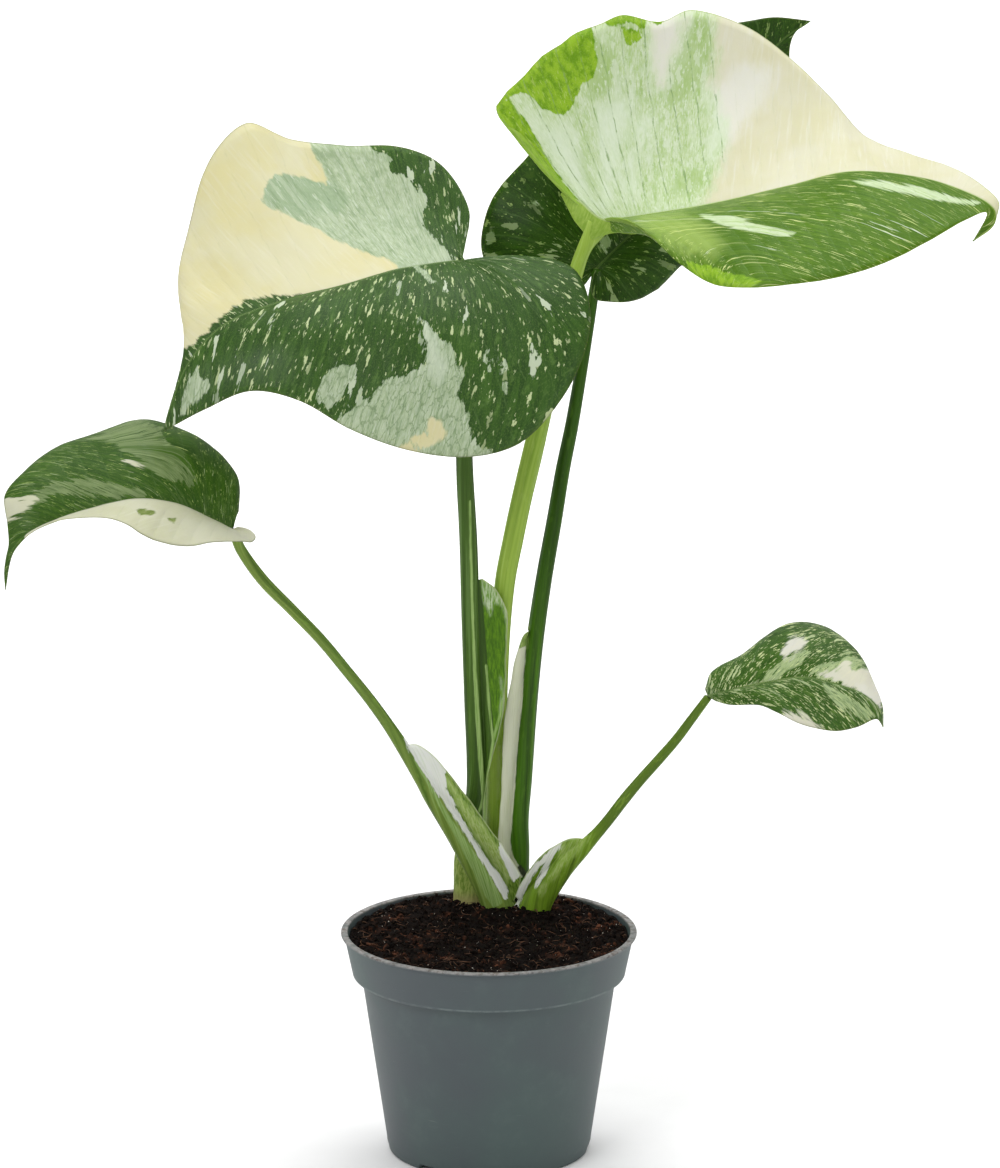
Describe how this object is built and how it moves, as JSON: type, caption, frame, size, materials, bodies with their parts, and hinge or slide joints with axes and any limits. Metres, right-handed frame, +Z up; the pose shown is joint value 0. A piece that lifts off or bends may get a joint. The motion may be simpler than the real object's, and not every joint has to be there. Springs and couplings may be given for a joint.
{
  "type": "potted monstera plant",
  "caption": "Young variegated monstera with heart-shaped cream, mint and green leaves on long petioles, rooted in dark soil in a round tapered plastic nursery pot.",
  "frame": {"origin": "centre of the pot's underside, on the surface it stands on", "axes": "+Z up along the pot's axis and the plant's height, the largest leaves reach towards -X and +X, the side seen in the picture faces -Y"},
  "size_m": [0.3902, 0.1785, 0.4551],
  "materials": {
    "pot": "satin",
    "soil": "matte",
    "crown": "matte",
    "petiole_a": "satin",
    "petiole_b": "satin",
    "petiole_c": "satin",
    "petiole_d": "satin",
    "petiole_e": "satin",
    "blade_a": "satin",
    "blade_b": "satin",
    "blade_c": "satin",
    "blade_d": "satin",
    "blade_e": "satin"
  },
  "bodies": {
    "root": {"pot": "pot", "soil": "soil", "crown": "crown", "petiole_a": "petiole_a", "petiole_b": "petiole_b", "petiole_c": "petiole_c", "petiole_d": "petiole_d", "petiole_e": "petiole_e", "blade_a": "blade_a", "blade_b": "blade_b", "blade_c": "blade_c", "blade_d": "blade_d", "blade_e": "blade_e"}
  },
  "joints": []
}
